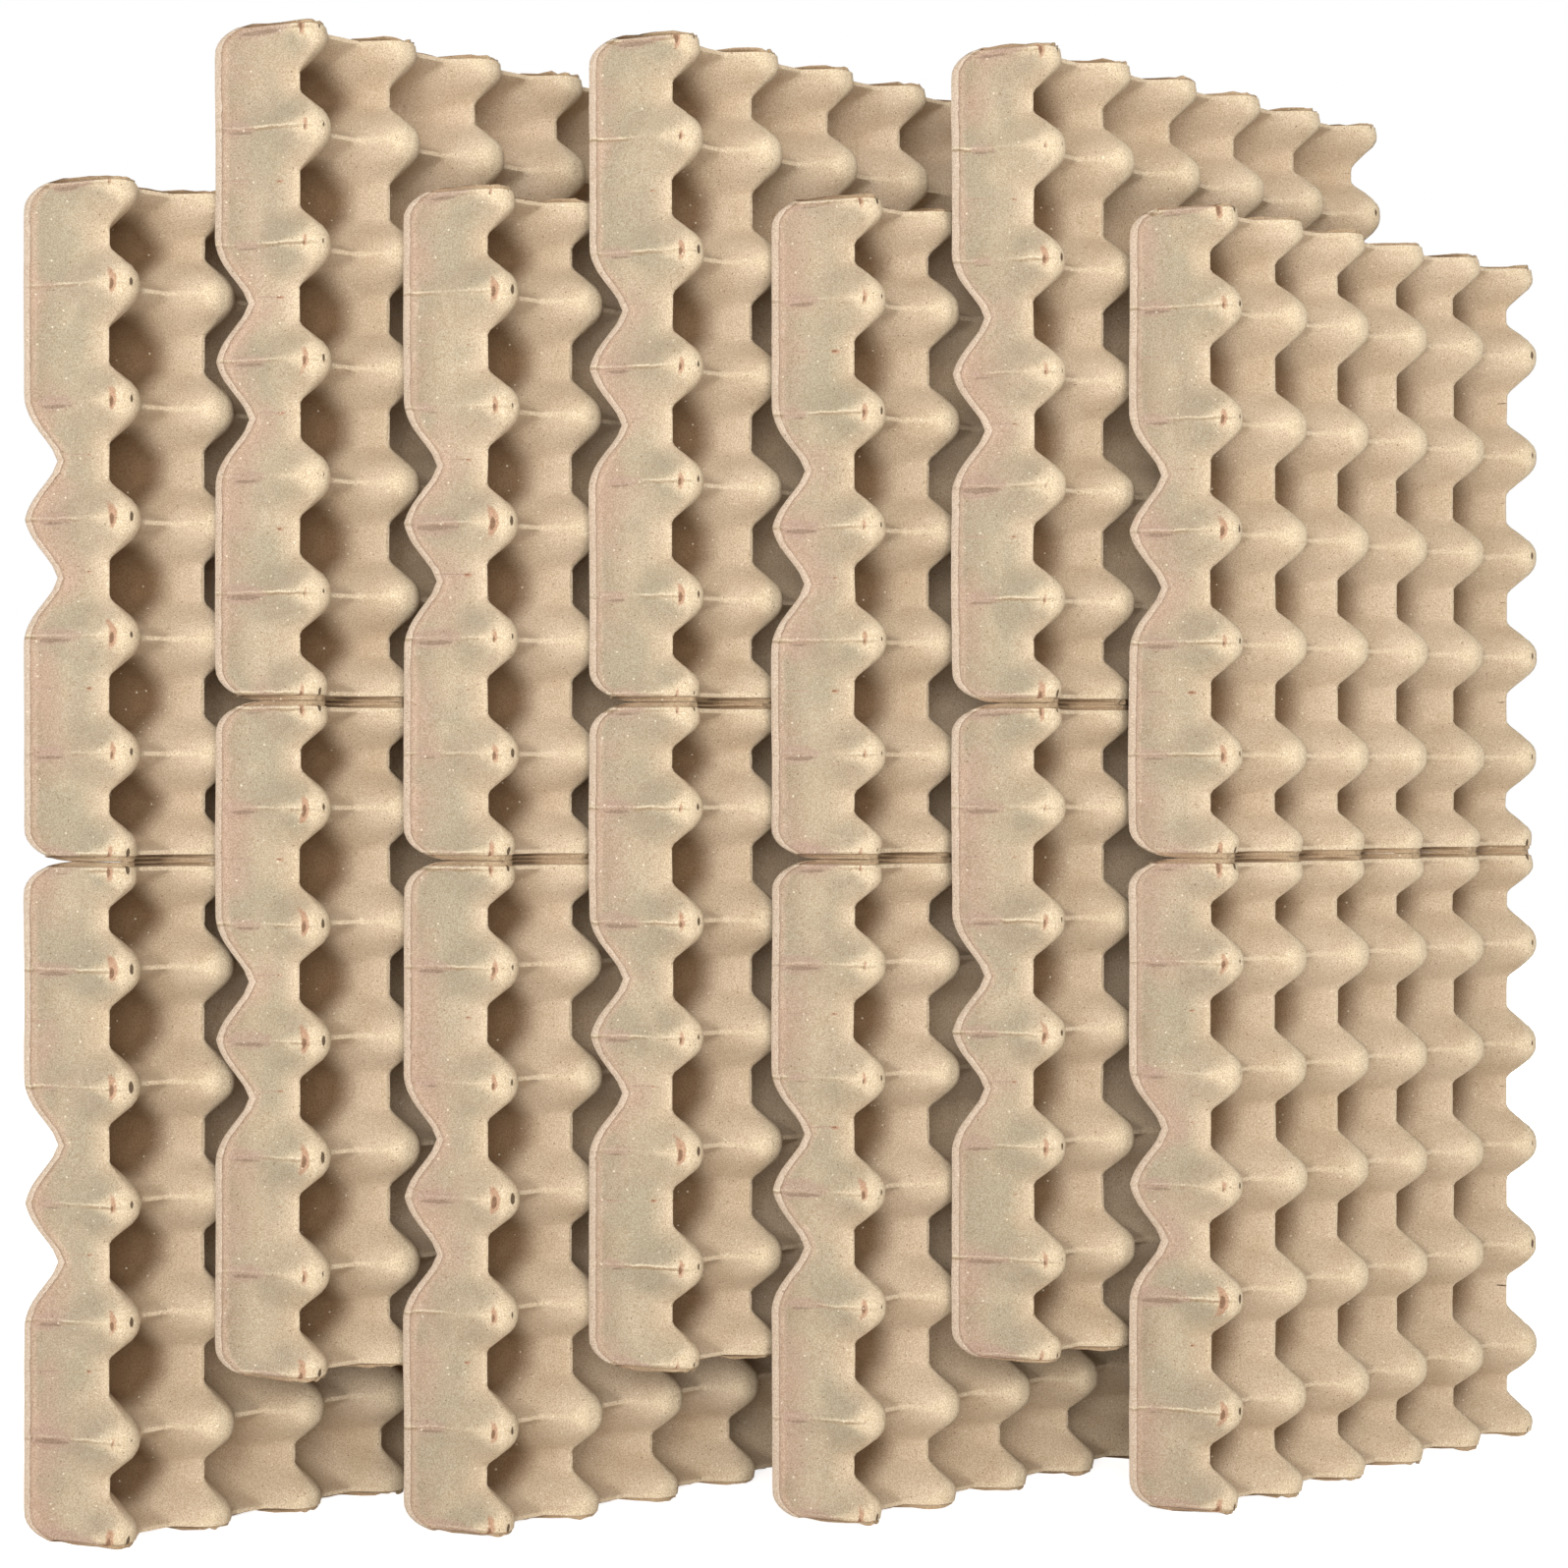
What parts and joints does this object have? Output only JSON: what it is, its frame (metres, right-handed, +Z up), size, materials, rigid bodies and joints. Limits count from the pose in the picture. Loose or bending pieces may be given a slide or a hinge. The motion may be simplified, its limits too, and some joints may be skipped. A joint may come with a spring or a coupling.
{
  "type": "stack of moulded pulp egg trays",
  "caption": "Square moulded pulp egg trays standing on edge in two tiers, each overlapping the one behind it, with post-and-cup cells, sloping skirts and notched rims.",
  "frame": {"origin": "centre of the underside, at the height of the lowest cut edges", "axes": "+Z up; the cups open towards -Y; each tray stands to +X and -Y of the one behind it"},
  "size_m": [0.6826, 0.3448, 0.6578],
  "materials": {
    "moulded_pulp": "raw"
  },
  "bodies": {
    "root": {"tray_lower_1": "moulded_pulp", "tray_lower_2": "moulded_pulp", "tray_lower_3": "moulded_pulp", "tray_lower_4": "moulded_pulp", "tray_lower_5": "moulded_pulp", "tray_lower_6": "moulded_pulp", "tray_lower_7": "moulded_pulp", "tray_upper_1": "moulded_pulp", "tray_upper_2": "moulded_pulp", "tray_upper_3": "moulded_pulp", "tray_upper_4": "moulded_pulp", "tray_upper_5": "moulded_pulp", "tray_upper_6": "moulded_pulp", "tray_upper_7": "moulded_pulp"}
  },
  "joints": []
}
